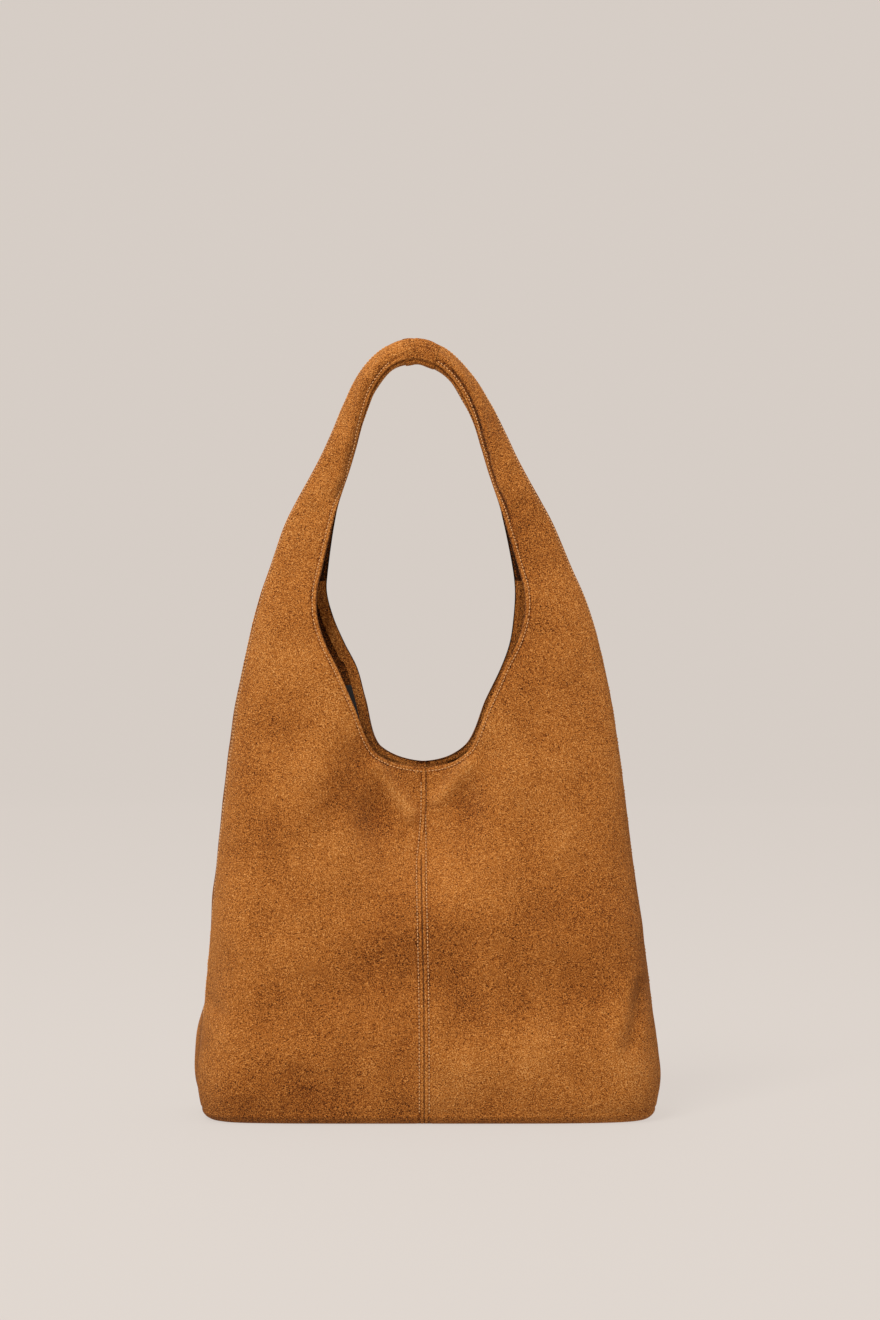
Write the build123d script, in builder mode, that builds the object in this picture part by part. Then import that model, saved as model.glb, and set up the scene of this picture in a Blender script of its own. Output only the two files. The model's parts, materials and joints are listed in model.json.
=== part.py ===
from build123d import *
from math import atan2, cos, hypot, sin
import os

# Slouchy suede hobo bag, standing on its base: +Z up, the front faces -Y, the origin is the centre of
# the base's underside. All sizes are in millimetres. The left is the wearer's view of the front, -X.

# ---- driving dimensions ----
SUEDE = 1.8
LINING = 0.7
FACING = 1.2
BASE_BOARD = 2.5
SHELL_TOP = 442.0          # where the bag's walls end and the strap starts to bend
STRAP_PIVOT = 455.0
STRAP_TOP = 645.0
STRAP_HALF_DEPTH = 10.0
MOUTH_Z = 289.0            # lowest point of the mouth's edge
MOUTH_HALF_FLAT = 24.0
FACING_WIDTH = 8.0
LINING_TOP = 358.0
CUT_GAP = 0.6              # clearance round the stretch of wall that opens
HINGE_Z = 150.0            # fold line below which the walls stay put when the mouth opens
SNAP_Z = 263.0
SNAP_TAB_LOW = 238.0

# Wall sections, one tuple for each height: height, half width, then the wall's depth in front of the
# middle plane at the centre, at 38 %, at 70 % and at 93 % of the half width. It is zero at the side seam.
SECTIONS = [
    (SUEDE, 188.0, 60.0, 60.0, 58.0, 40.0),
    (20.0, 190.5, 60.8, 60.8, 58.8, 40.5),
    (50.0, 192.0, 61.0, 61.0, 59.0, 40.0),
    (80.0, 189.0, 59.5, 59.7, 57.2, 38.5),
    (110.0, 185.0, 56.2, 56.6, 53.8, 36.0),
    (138.0, 182.0, 52.0, 53.0, 50.6, 33.6),
    (165.0, 179.5, 47.0, 49.0, 47.0, 31.0),
    (205.0, 174.5, 29.0, 41.0, 41.5, 27.5),
    (235.0, 171.5, 13.5, 35.0, 38.0, 25.0),
    (SNAP_Z, 168.0, 7.4, 30.5, 34.5, 23.0),
    (MOUTH_Z, 165.0, 7.0, 28.0, 32.0, 21.0),
    (345.0, 157.0, 8.0, 25.0, 27.0, 17.0),
    (400.0, 145.0, 10.0, 20.0, 22.0, 13.5),
    (SHELL_TOP, 131.0, 12.0, 15.0, 16.0, 9.5),
]
SHARES = (0.38, 0.70, 0.93, 0.992)

# Right half of the mouth's edge above its flat bottom, then of the strap's edges, as (x, z).
MOUTH_EDGE = [(24, MOUTH_Z), (38, 303), (51, 329), (64, 362), (80, 394), (86, 416), (83, 447)]
STRAP_OUTER = [(128, 443), (101, 509), (83, 542), (56, 600), (32, 632)]
STRAP_INNER = [(84, 443), (66, 509), (55, 542), (35, 600), (18, 619)]
STRAP_UNDERSIDE = 625.0


def finish(part, name):
    part.label = name
    export_step(part, f"parts/{name}.step")


def wall_curve(section, inset):
    """Plan curve of the front wall from the left side seam to the right one, moved inwards by inset."""
    _, half_width, centre, *depths = section
    half_width -= inset
    depths = [*depths, depths[-1] / 2]
    right = [(half_width * s, inset - d) for s, d in zip(SHARES, depths)]
    left = [(-x, y) for x, y in reversed(right)]
    return Spline((-half_width, 0), *left, (0, inset - centre), *right, (half_width, 0))


def front_shell(outside, thickness, sections):
    """Front half of a soft box: a curved wall that follows the sections, from side seam to side seam."""
    with BuildPart() as shell:
        for section in sections:
            with BuildSketch(Plane.XY.offset(section[0])):
                with BuildLine():
                    outer = wall_curve(section, outside)
                    inner = wall_curve(section, outside + thickness)
                    Line(outer @ 0, inner @ 0)
                    Line(outer @ 1, inner @ 1)
                make_face()
        loft(ruled=True)
    return shell.part


def plan(section, inset):
    """Full plan outline at one height, front and back."""
    with BuildSketch() as outline:
        with BuildLine():
            wall_curve(section, inset)
            mirror(about=Plane.XZ)
        make_face()
    return outline.sketch


def upright(sketch):
    """A profile drawn in the front view, pushed right through the bag."""
    with BuildPart() as block:
        with BuildSketch(Plane.XZ):
            add(sketch)
        extrude(amount=100, both=True)
    return block.part


# ---- outlines in the front view ----
with BuildSketch() as mouth_outline:
    with BuildLine():
        Line((-MOUTH_HALF_FLAT, MOUTH_Z), (MOUTH_HALF_FLAT, MOUTH_Z))
        right_edge = Spline(*MOUTH_EDGE)
        mirror(right_edge, about=Plane.YZ)
        Line(right_edge @ 1, (-(right_edge @ 1).X, (right_edge @ 1).Y))
    make_face()


def around_mouth(width, gap):
    """The mouth and a border of the given width, which widens at the middle to carry the snap."""
    steps = (0, 0.15, 0.3, 0.45, 0.6, 0.8, 1)
    border = [right_edge @ t + Vector((right_edge % t).Y, -(right_edge % t).X) * width for t in steps]
    with BuildSketch() as outline:
        with BuildLine():
            edge = Spline(*border)
            mirror(edge, about=Plane.YZ)
            Line(edge @ 0, (-(edge @ 0).X, (edge @ 0).Y))
            Line(edge @ 1, (-(edge @ 1).X, (edge @ 1).Y))
        make_face()
        with BuildLine():
            tab_low = SNAP_TAB_LOW - gap
            Polyline((-36 - gap, tab_low), (36 + gap, tab_low), (46 + gap, 304), (-46 - gap, 304), close=True)
        make_face()
    return outline.sketch


with BuildSketch() as facing_outline:
    add(around_mouth(FACING_WIDTH, 0))
    add(mouth_outline.sketch, mode=Mode.SUBTRACT)
    with Locations((0, LINING_TOP - 100)):
        Rectangle(300, 200, mode=Mode.INTERSECT)

with BuildSketch() as lining_outline:
    with Locations((0, LINING_TOP - 200)):
        Rectangle(420, 400)
    add(around_mouth(FACING_WIDTH + 0.8, 0.8), mode=Mode.SUBTRACT)

with BuildSketch() as flap_outline:
    with BuildLine():
        Polyline((-95, HINGE_Z), (95, HINGE_Z), (80, 372), (-80, 372), close=True)
    make_face()
    fillet(flap_outline.vertices().group_by(Axis.Y)[0], radius=24)

with BuildSketch() as flap_hole_outline:
    add(flap_outline.sketch)
    offset(amount=CUT_GAP)

mouth_block = upright(mouth_outline.sketch)
flap_block = upright(flap_outline.sketch)
flap_hole_block = upright(flap_hole_outline.sketch)
facing_block = upright(facing_outline.sketch)

# ---- suede walls: each half is cut into the part that stays and the part that opens at the mouth ----
front_wall = front_shell(0, SUEDE, SECTIONS)

SIDES = {"left": Keep.BOTTOM, "right": Keep.TOP}
os.makedirs("parts", exist_ok=True)


def at_face(part, face):
    """The part itself for the front, its mirror image for the back."""
    with BuildPart() as placed:
        if face == "front":
            add(part)
        else:
            add(mirror(part, about=Plane.XZ, mode=Mode.PRIVATE))
    return placed.part


for face in ("front", "back"):
    for side, kept in SIDES.items():
        with BuildPart() as panel:
            add(front_wall)
            add(mouth_block, mode=Mode.SUBTRACT)
            add(flap_hole_block, mode=Mode.SUBTRACT)
            split(bisect_by=Plane.YZ, keep=kept)
        finish(at_face(panel.part, face), f"{face}_panel_{side}")

        with BuildPart() as mouth_panel:
            add(front_wall)
            add(mouth_block, mode=Mode.SUBTRACT)
            add(flap_block, mode=Mode.INTERSECT)
            split(bisect_by=Plane.YZ, keep=kept)
        finish(at_face(mouth_panel.part, face), f"{face}_mouth_{side}")

# ---- base ----
with BuildPart() as base_panel:
    add(plan(SECTIONS[0], 0))
    extrude(amount=SUEDE)
finish(base_panel.part, "base_panel")

BOARD_TOP = SUEDE + BASE_BOARD
with BuildPart() as base_board:
    with BuildSketch(Plane.XY.offset(SUEDE)):
        RectangleRounded(352, 100, radius=34)
    extrude(amount=BASE_BOARD)
finish(base_board.part, "base_board")

# ---- lining: hangs clear of the walls low down, and meets them under the mouth's facing ----
LINING_EASE = [6.0, 6.0, 6.0, 6.0, 6.0, 6.0, 6.0, 3.0, 0.5, 0.2, 0.2, 0.2, 0.2]


def eased(section, ease):
    z, half_width, *depths = section
    return (z, half_width - ease, *[d - ease for d in depths])


lining_sections = [eased(s, e) for s, e in zip(SECTIONS, LINING_EASE)]
lining_sections[0] = (BOARD_TOP + LINING, *lining_sections[0][1:])
lining_wall = front_shell(SUEDE, LINING, lining_sections)

with BuildPart() as lining_front:
    add(lining_wall)
    add(upright(lining_outline.sketch), mode=Mode.INTERSECT)
finish(lining_front.part, "lining_front")

with BuildPart() as lining_base:
    with BuildSketch(Plane.XY.offset(BOARD_TOP)):
        add(plan(lining_sections[0], SUEDE + LINING))
    extrude(amount=LINING)
finish(lining_base.part, "lining_base")

# ---- zip pocket in the back lining: its own leaning plane, local Y up the wall, local Z into the bag ----
POCKET_Z = 138.0
(low_z, _, low_depth, *_), _, (high_z, _, high_depth, *_) = lining_sections[3:6]
POCKET_LEAN = atan2(low_depth - high_depth, high_z - low_z)
pocket_share = (POCKET_Z - low_z) / (high_z - low_z)
POCKET_Y = low_depth + (high_depth - low_depth) * pocket_share - SUEDE - LINING
pocket = Plane(
    origin=(0, POCKET_Y, POCKET_Z),
    x_dir=(1, 0, 0),
    z_dir=(0, -cos(POCKET_LEAN), -sin(POCKET_LEAN)),
)
ZIP_HALF = 72.0
TAPE_HALF = 78.0
TAPE_EDGE = 9.0
COIL_PITCH = 1.5
SLIDER_REST = -66.0


def zip_box(x, y, z, mode=Mode.ADD):
    """A box in the pocket's plane, from its (low, high) extents."""
    with BuildSketch(pocket.offset(z[0]), mode=Mode.PRIVATE) as face:
        with Locations(((x[0] + x[1]) / 2, (y[0] + y[1]) / 2)):
            Rectangle(x[1] - x[0], y[1] - y[0])
    return extrude(face.sketch, amount=z[1] - z[0], mode=mode)


with BuildPart() as lining_back:
    add(at_face(lining_front.part, "back"))
    zip_box((-81, 81), (-10.5, 10.5), (-6, 6), mode=Mode.SUBTRACT)
finish(lining_back.part, "lining_back")

with BuildPart() as pocket_welt:
    with BuildSketch(pocket.offset(1.1)):
        RectangleRounded(174, 30, radius=4)
        RectangleRounded(152, 9, radius=1, mode=Mode.SUBTRACT)
    extrude(amount=FACING)
finish(pocket_welt.part, "pocket_welt")

with BuildPart() as pocket_bag:
    zip_box((-80, 80), (-78, 10), (-4.6, -1.9))
    zip_box((-79, 79), (-77, 9), (-4.2, -2.3), mode=Mode.SUBTRACT)
    zip_box((-76, 76), (-8, 8), (-2.3, -1.9), mode=Mode.SUBTRACT)
finish(pocket_bag.part, "pocket_bag")

for place, way in (("upper", 1), ("lower", -1)):
    with BuildPart() as zip_tape:
        zip_box((-TAPE_HALF, TAPE_HALF), sorted((way * 0.9, way * TAPE_EDGE)), (-0.5, 0.1))
    finish(zip_tape.part, f"zip_tape_{place}")

    with BuildPart() as zip_coil:
        zip_box((-ZIP_HALF, ZIP_HALF), sorted((way * 1.0, way * 1.7)), (0.1, 0.9))
        with BuildSketch(pocket.offset(0.1)):
            with Locations((0, way * 1.2)):
                with GridLocations(COIL_PITCH, 0, int(2 * ZIP_HALF / COIL_PITCH), 1):
                    Rectangle(COIL_PITCH * 0.6, 1.4)
        extrude(amount=1.2)
    finish(zip_coil.part, f"zip_coil_{place}")

with BuildPart() as zip_stops:
    for x in (-ZIP_HALF - 1.5, ZIP_HALF + 1.5):
        zip_box((x - 1, x + 1), (-2.2, 2.2), (0.1, 1.3))
finish(zip_stops.part, "zip_stops")

with BuildPart() as zip_slider:
    x = SLIDER_REST
    for plate in ((1.6, 2.4), (-1.7, -0.8)):
        with BuildSketch(pocket.offset(plate[0])):
            with Locations((x, 0)):
                RectangleRounded(9, 7.2, radius=2.2)
        extrude(amount=plate[1] - plate[0])
    zip_box((x - 4.2, x - 2.6), (-0.25, 0.25), (-0.8, 1.6))
    for way in (1, -1):
        zip_box((x - 3, x + 3), sorted((way * 2.5, way * 3.3)), (0.5, 1.6))
    for end in (-2.9, 2.1):
        zip_box((x + end, x + end + 0.8), (-0.6, 0.6), (2.4, 4.7))
    zip_box((x - 2.9, x + 2.9), (-0.6, 0.6), (3.9, 4.7))
finish(zip_slider.part, "zip_slider")

PULL_Z = 3.15
with BuildPart() as zip_pull:
    x = SLIDER_REST
    zip_box((x - 0.4, x + 0.4), (-2.6, 2.6), (PULL_Z - 0.4, PULL_Z + 0.4))
    for way in (1, -1):
        zip_box((x - 0.4, x + 7), sorted((way * 1.8, way * 2.6)), (PULL_Z - 0.4, PULL_Z + 0.4))
    with BuildSketch(pocket.offset(PULL_Z - 0.4)):
        with Locations((x + 15, 0)):
            SlotOverall(20, 6.4)
        with Locations((x + 21.5, 0)):
            Circle(1.2, mode=Mode.SUBTRACT)
    extrude(amount=0.8)
finish(zip_pull.part, "zip_pull")

# ---- facings along the mouth, widened at the middle to carry the magnetic snap ----
SEAT = 6.9 - SUEDE - FACING   # inner face of the facing at the snap, from the middle plane
snap_front = Plane(origin=(0, -SEAT, SNAP_Z), x_dir=(1, 0, 0), z_dir=(0, 1, 0))
snap_back = Plane(origin=(0, SEAT, SNAP_Z), x_dir=(1, 0, 0), z_dir=(0, -1, 0))
SNAP_R = 8.5
MAGNET_R = 6.6
STUD_R = 2.7
STUD_HOLE_R = 3.2
SOCKET_DEPTH = 4.6
STUD_PLATE = 2.7
STUD_LENGTH = 3.0
WASHER_R = 7.0
PRONG_X = 4.0

with BuildPart() as snap_socket:
    with BuildSketch(snap_front):
        Circle(SNAP_R)
        Circle(STUD_HOLE_R, mode=Mode.SUBTRACT)
    extrude(amount=SOCKET_DEPTH)
    with BuildSketch(snap_front.offset(0.8)):
        Circle(MAGNET_R)
        Circle(STUD_HOLE_R, mode=Mode.SUBTRACT)
    extrude(amount=SOCKET_DEPTH - 1.6, mode=Mode.SUBTRACT)
    with BuildSketch(snap_front):
        with Locations((-PRONG_X - 0.8, 0), (PRONG_X + 0.8, 0)):
            Rectangle(0.6, 4)
    extrude(amount=-FACING)

with BuildPart() as snap_magnet:
    with BuildSketch(snap_front.offset(0.8)):
        Circle(MAGNET_R)
        Circle(STUD_HOLE_R, mode=Mode.SUBTRACT)
    extrude(amount=SOCKET_DEPTH - 1.6)

with BuildPart() as snap_stud:
    with BuildSketch(snap_back):
        Circle(SNAP_R)
        with Locations((-PRONG_X - 0.8, 0), (PRONG_X + 0.8, 0)):
            Rectangle(0.6, 4)
    extrude(amount=STUD_PLATE)
    with BuildSketch(snap_back):
        with Locations((-PRONG_X - 0.8, 0), (PRONG_X + 0.8, 0)):
            Rectangle(0.6, 4)
    extrude(amount=-FACING)
    with BuildSketch(snap_back.offset(STUD_PLATE)):
        Circle(STUD_R)
    extrude(amount=STUD_LENGTH)

facing_wall = front_shell(SUEDE, FACING, SECTIONS)
for face, plane, snap in (("front", snap_front, snap_socket), ("back", snap_back, snap_stud)):
    with BuildPart() as washer:
        with BuildSketch(plane.offset(-FACING + 0.1)):
            Circle(WASHER_R)
        extrude(amount=0.5)
        add(snap.part, mode=Mode.SUBTRACT)
    finish(washer.part, f"snap_washer_{face}")

    with BuildPart() as mouth_facing:
        add(at_face(facing_wall, face))
        add(facing_block, mode=Mode.INTERSECT)
        add(snap.part, mode=Mode.SUBTRACT)
        add(washer.part, mode=Mode.SUBTRACT)
    finish(mouth_facing.part, f"mouth_facing_{face}")

finish(snap_socket.part, "snap_socket")
finish(snap_magnet.part, "snap_magnet")
finish(snap_stud.part, "snap_stud")

# ---- strap: one folded band, a channel that is open towards the loop; its foot is rounded to swing ----
STRAP_ROUND = 8.0
STRAP_CORE_Z = 400.0
PATCH_HALF = 11.0


def arch(edge, top):
    """Filled arch in the front view, from its right-hand edge and its top."""
    with BuildSketch() as outline:
        with BuildLine():
            curve = Spline(*edge, (0, top), *[(-x, z) for x, z in reversed(edge)])
            Line(curve @ 0, curve @ 1)
        make_face()
    return outline.sketch


def rounded_arch(sketch, half_depth, radius):
    """The arch pushed through by its half depth each way, with its long outer edges rounded."""
    with BuildPart() as block:
        with BuildSketch(Plane.XZ):
            add(sketch)
        extrude(amount=half_depth, both=True)
        fillet(block.edges().filter_by(GeomType.BSPLINE).filter_by(long_edge), radius=radius)
    return block.part


def long_edge(edge):
    return edge.length > 200


def toward_core(point, distance):
    """Moves a point of the strap's edge towards the middle of the mouth."""
    x, z = point
    reach = hypot(x, z - STRAP_CORE_Z)
    return (x - distance * x / reach, z - distance * (z - STRAP_CORE_Z) / reach)


outer_arch = arch(STRAP_OUTER, STRAP_TOP)
inner_arch = arch(STRAP_INNER, STRAP_UNDERSIDE)
hollow_arch = arch([toward_core(p, SUEDE * 1.1) for p in STRAP_OUTER], STRAP_TOP - SUEDE)

with BuildPart() as strap_foot:
    with BuildSketch(Plane.YZ):
        with Locations((0, STRAP_PIVOT)):
            Circle(STRAP_HALF_DEPTH)
        with Locations((0, STRAP_PIVOT + 100)):
            Rectangle(60, 200)
    extrude(amount=200, both=True)

with BuildPart() as strap:
    add(rounded_arch(outer_arch, STRAP_HALF_DEPTH, STRAP_ROUND))
    add(rounded_arch(hollow_arch, STRAP_HALF_DEPTH - SUEDE, STRAP_ROUND - SUEDE), mode=Mode.SUBTRACT)
    add(upright(inner_arch), mode=Mode.SUBTRACT)
    add(strap_foot.part, mode=Mode.INTERSECT)

for face, face_kept in (("front", Keep.TOP), ("back", Keep.BOTTOM)):
    for side, side_kept in SIDES.items():
        with BuildPart() as layer:
            add(strap.part)
            split(bisect_by=Plane.XZ, keep=face_kept)
            split(bisect_by=Plane.YZ, keep=side_kept)
        finish(layer.part, f"strap_{face}_{side}")

with BuildPart() as strap_join_patch:
    with BuildSketch(Plane.XY.offset(STRAP_UNDERSIDE - 4)):
        Rectangle(2 * PATCH_HALF, 2 * STRAP_HALF_DEPTH + 1)
    extrude(amount=8)
    add(upright(inner_arch), mode=Mode.INTERSECT)
finish(strap_join_patch.part, "strap_join_patch")
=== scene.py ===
import json
import math

import bpy
import numpy as np
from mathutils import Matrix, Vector


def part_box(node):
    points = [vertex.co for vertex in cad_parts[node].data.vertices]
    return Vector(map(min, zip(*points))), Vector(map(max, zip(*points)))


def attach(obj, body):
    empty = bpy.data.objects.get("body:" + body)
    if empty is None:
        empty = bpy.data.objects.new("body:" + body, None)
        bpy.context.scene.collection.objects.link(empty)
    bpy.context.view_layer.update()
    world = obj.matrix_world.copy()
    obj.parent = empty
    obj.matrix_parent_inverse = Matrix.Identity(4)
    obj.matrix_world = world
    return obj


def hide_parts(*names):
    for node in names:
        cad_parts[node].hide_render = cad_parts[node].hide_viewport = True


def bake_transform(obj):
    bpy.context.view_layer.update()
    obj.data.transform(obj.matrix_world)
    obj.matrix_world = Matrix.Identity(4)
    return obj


# A slouchy suede hobo bag built round its CAD frame.
# Shapes are worked out in millimetres and written in metres.

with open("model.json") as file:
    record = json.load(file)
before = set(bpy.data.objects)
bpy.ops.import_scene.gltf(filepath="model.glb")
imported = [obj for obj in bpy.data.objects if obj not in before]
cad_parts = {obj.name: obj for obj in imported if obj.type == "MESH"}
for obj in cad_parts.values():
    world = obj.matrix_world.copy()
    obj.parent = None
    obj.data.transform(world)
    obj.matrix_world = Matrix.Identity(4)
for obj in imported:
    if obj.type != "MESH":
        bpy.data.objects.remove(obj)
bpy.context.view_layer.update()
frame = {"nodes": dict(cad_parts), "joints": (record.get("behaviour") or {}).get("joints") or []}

MM = 0.001
SUEDE = 1.8
ROLL = 10.0                # radius of the rolled lower edge
SEAM_IN = 7.0              # how far the left side seam lies inboard of the back wall's bulge
EDGE = 1.5                 # radius that the turned edges and seams are rounded to
BASE_HALF = 192.0          # half the width that the rolled lower edge draws in
MIDDLE_X = -3.5            # where the middle of the leaning mouth lies
MOUTH = 5                  # station of the lowest point of the mouth's edge
SPLIT = 10                 # station where a wall ends and its strap band starts
FOOT = 12                  # station at the height of the strap's fold
LAST = 21                  # station at the top of the strap
SIDES = {"left": -1.0, "right": 1.0}
FACES = {"front": -1.0, "back": 1.0}

SNAP_Z = sum(corner.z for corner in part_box("snap_stud")) / 2 / MM
PIVOT_Z = next(j for j in frame["joints"] if j["name"] == "strap_fold")["pos_m"][2] / MM

# Heights of stations 0 to 5, as shares of the mouth's height.
LEVELS = (0, 0.12, 0.33, 0.55, 0.775, 1.0)
# Half depth and bluntness of the section at each station.
DEPTH = np.array([60, 61, 57, 49.5, 39, 31.5, 29, 27, 25.5, 23.5, 21.5, 18.5, 15.5, 12.5, 11, 10, 9.5, 9,
                  8.5, 8, 7.5, 7])
BLUNT = np.array([5, 4.6, 4.2, 3.9, 3.6, 3.4, 3.3, 3.2, 3.1, 3.0, 2.9, 2.7, 2.5, 2.4, 2.3, 2.3, 2.3, 2.3,
                  2.2, 2.2, 2.2, 2.2])
# How far the back wall's mouth edge stands inside the front's at stations 5 to 13, and above it at 5 to 7.
BACK_IN = {
    "left": np.array([0, 3, 10, 15, 15, 12, 7, 4, 1.0]),
    "right": np.array([0, 1, 2, 2, 5, 8, 7, 4, 1.0]),
}
BACK_UP = np.array([5, 5.5, 3])


def smooth(x, low, high):
    """0 below low, 1 above high, and a smooth step between them."""
    t = np.clip((np.asarray(x, float) - low) / (high - low), 0, 1)
    return t * t * (3 - 2 * t)


def lean(z):
    """The slouch: the soft bag and its strap stand a little to the left of the stiff frame."""
    return -1.5 - 3 * smooth(z, 60, 250) - 2 * smooth(z, 420, 520) - 4 * smooth(z, 560, 645)


def frame_reach(names, start, direction):
    """Distances in the front view from a point to the nearest and the farthest edge of these CAD nodes."""
    found = []
    for name in names:
        mesh = frame["nodes"][name].data
        co = np.array([v.co for v in mesh.vertices])[:, [0, 2]] / MM
        ends = np.array([e.vertices[:] for e in mesh.edges])
        a, step = co[ends[:, 0]] - start, co[ends[:, 1]] - co[ends[:, 0]]
        cross = direction[0] * step[:, 1] - direction[1] * step[:, 0]
        ok = np.abs(cross) > 1e-9
        a, step, cross = a[ok], step[ok], cross[ok]
        t = (a[:, 0] * step[:, 1] - a[:, 1] * step[:, 0]) / cross
        along = (a[:, 0] * direction[1] - a[:, 1] * direction[0]) / cross
        found.append(t[(along >= 0) & (along <= 1) & (t > 1)])
    found = np.concatenate(found)
    return found.min(), found.max()


def frame_stations(side):
    """Inner and outer edge of the frame's half at each station, and the band's twist: x, z, x, z, degrees."""
    sign = SIDES[side]
    walls = [f"{face}_{part}_{side}" for face in FACES for part in ("panel", "mouth")]
    bands = [f"strap_{face}_{side}" for face in FACES]
    core = np.array([sign * 1.5, PIVOT_Z])

    def towards(names, degrees, which):
        a = math.radians(degrees)
        direction = np.array([sign * math.cos(a), math.sin(a)])
        return core + direction * (frame_reach(names, core, direction)[which] + (EDGE if which else 0))

    mouth_z = towards(walls, -90, 0)[1]
    rows = []
    for k in range(LAST + 1):
        if k <= MOUTH:
            z = mouth_z * LEVELS[k]
            inner = np.array([0, z])
        elif k <= FOOT:
            z = mouth_z + (PIVOT_Z - mouth_z) * (k - MOUTH) / (FOOT - MOUTH)
            inner = towards(walls + bands, -90 * (FOOT - k) / (FOOT - MOUTH), 0)
        if k < FOOT:
            at = np.array([0, max(z, 3.0)])
            outer = np.array([sign * (frame_reach(walls, at, np.array([sign, 0.0]))[1] + EDGE), z])
        else:
            share = (k - FOOT) / (LAST - FOOT)
            inner = towards(bands, 90 * share**0.6, 0)
            outer = towards(bands, 90 * share**0.75, 1)
        twist = 50 * float(smooth(k, 15.5, 20.5))
        rows.append((inner[0] + lean(inner[1]), inner[1], outer[0] + lean(outer[1]), outer[1], twist))
    rows = np.array(rows)
    rows[LAST, [0, 2]] = lean(rows[LAST, 3])
    return rows


def bump(x, z, cx, cz, rx, rz):
    """1 at (cx, cz), falling off over rx sideways and rz in height."""
    return np.exp(-((x - cx) / rx) ** 2 - ((z - cz) / rz) ** 2)


def ridge(x, z, a, b, width):
    """1 along the segment from a to b, falling off sideways and fading at its ends."""
    ax, az = a
    dx, dz = b[0] - ax, b[1] - az
    t = ((x - ax) * dx + (z - az) * dz) / (dx * dx + dz * dz)
    near = np.clip(t, 0, 1)
    gap = np.hypot(x - ax - near * dx, z - az - near * dz)
    return np.exp(-((gap / width) ** 2))


def spline(points, u, before=None, after=None):
    """Catmull-Rom curve through the points, one for each whole number of u."""
    p = np.array(points, float)
    before = 2 * p[0] - p[1] if before is None else before
    after = 2 * p[-1] - p[-2] if after is None else after
    q = np.vstack([before, p, after])
    i = np.clip(np.floor(u).astype(int), 0, len(p) - 2)
    t = (u - i)[:, None]
    a, b, c, d = q[i], q[i + 1], q[i + 2], q[i + 3]
    return 0.5 * (2 * b + (c - a) * t + (2 * a - 5 * b + 4 * c - d) * t**2 + (3 * b - 3 * c + d - a) * t**3)


STATIONS = {side: frame_stations(side) for side in SIDES}
MOUTH_Z = STATIONS["left"][MOUTH, 1]


def row_stations():
    """Station number of every row: close together over the rolled lower edge, then about 2.6 mm apart."""
    first = STATIONS["left"][1, 1]
    rolled = [ROLL * (1 - math.cos(math.radians(a))) / first for a in np.arange(0, 90, 10)]
    rows = [*rolled, *(np.arange(10.6, first - 1, 2.6) / first)]
    for k in range(1, LAST):
        spans = [max(math.dist(s[k, :2], s[k + 1, :2]), math.dist(s[k, 2:4], s[k + 1, 2:4]))
                 for s in STATIONS.values()]
        count = int(max(spans) / 2.6) + 1
        rows += list(k + np.arange(count) / count)
    return np.array([*rows, LAST])


ROWS = row_stations()
# Distances of the first and last columns from an edge, and the number of columns between them.
NEAR = np.array([0, 0.3, 0.7, 1.1, 1.6, 2.2, 2.7, 3.2, 3.7, 4.4, 5.6, 7.2, 9.0])
MIDDLE = 54


def centre_x(u):
    """Where the centre seam lies."""
    return np.interp(np.minimum(u, MOUTH), np.arange(MOUTH + 1), STATIONS["left"][:MOUTH + 1, 0])


# Folds and dents in the front view, in millimetres.
# Ridge: height, start, end, width. Dent: height, x, z, half width, half height.
RIDGES = {
    "front": [
        (4.6, (-41, MOUTH_Z), (-13, SNAP_Z - 13), 6.5), (4.2, (37, MOUTH_Z + 4), (10, SNAP_Z - 1), 6.0),
        (2.0, (-70, 330), (-120, 235), 16), (-2.0, (-52, 300), (-95, 215), 13),
        (1.8, (62, 330), (110, 225), 15), (-1.6, (45, 300), (84, 215), 12),
        (-3.6, (178, 112), (166, 62), 6), (2.2, (166, 112), (152, 64), 8),
        (-2.4, (-186, 100), (-172, 92), 5),
    ],
    "back": [
        (2.6, (-38, MOUTH_Z), (-10, SNAP_Z - 8), 7), (2.6, (34, MOUTH_Z), (8, SNAP_Z - 5), 7),
        (1.7, (-70, 330), (-120, 225), 16), (1.7, (68, 330), (118, 230), 16),
    ],
}
DENTS = {
    "front": [(-6.4, -42, SNAP_Z - 15, 18, 24), (-4.0, 34, SNAP_Z - 3, 15, 20)],
    "back": [(-2.6, -38, SNAP_Z - 13, 17, 22), (-2.4, 36, SNAP_Z - 11, 17, 22)],
}


def folds(x, z, face):
    """How far the wall stands out from its smooth shape: pulls from the snap, sags, dents and slack."""
    front = face < 0
    seed = 0.0 if front else 2.1
    out = 1.1 * np.sin(x / 31 + z / 55 + seed) * np.sin(z / 37 - x / 90 + 1.3 * seed)
    out += 0.7 * np.sin(x / 17 - z / 29 + 1.7 + seed) * np.sin(z / 21 + x / 43 + seed)
    out += 0.35 * np.sin(x / 9.5 + z / 14 + seed) * np.sin(z / 11.5 - x / 19)
    out *= 0.8 + 0.9 * smooth(z, 320, 120)
    out += 3.6 * np.exp(-(((z - 52) / 30) ** 2)) - 3.2 * np.exp(-(((z - 112) / 28) ** 2))
    if not front:
        out += 3.4 * np.exp(-((x / 120) ** 4) - ((z - 108) / 42) ** 4)
    name = "front" if front else "back"
    for height, start, end, width in RIDGES[name]:
        out += height * ridge(x, z, start, end, width)
    for height, *place in DENTS[name]:
        out += height * bump(x, z, *place)
    return out


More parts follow.
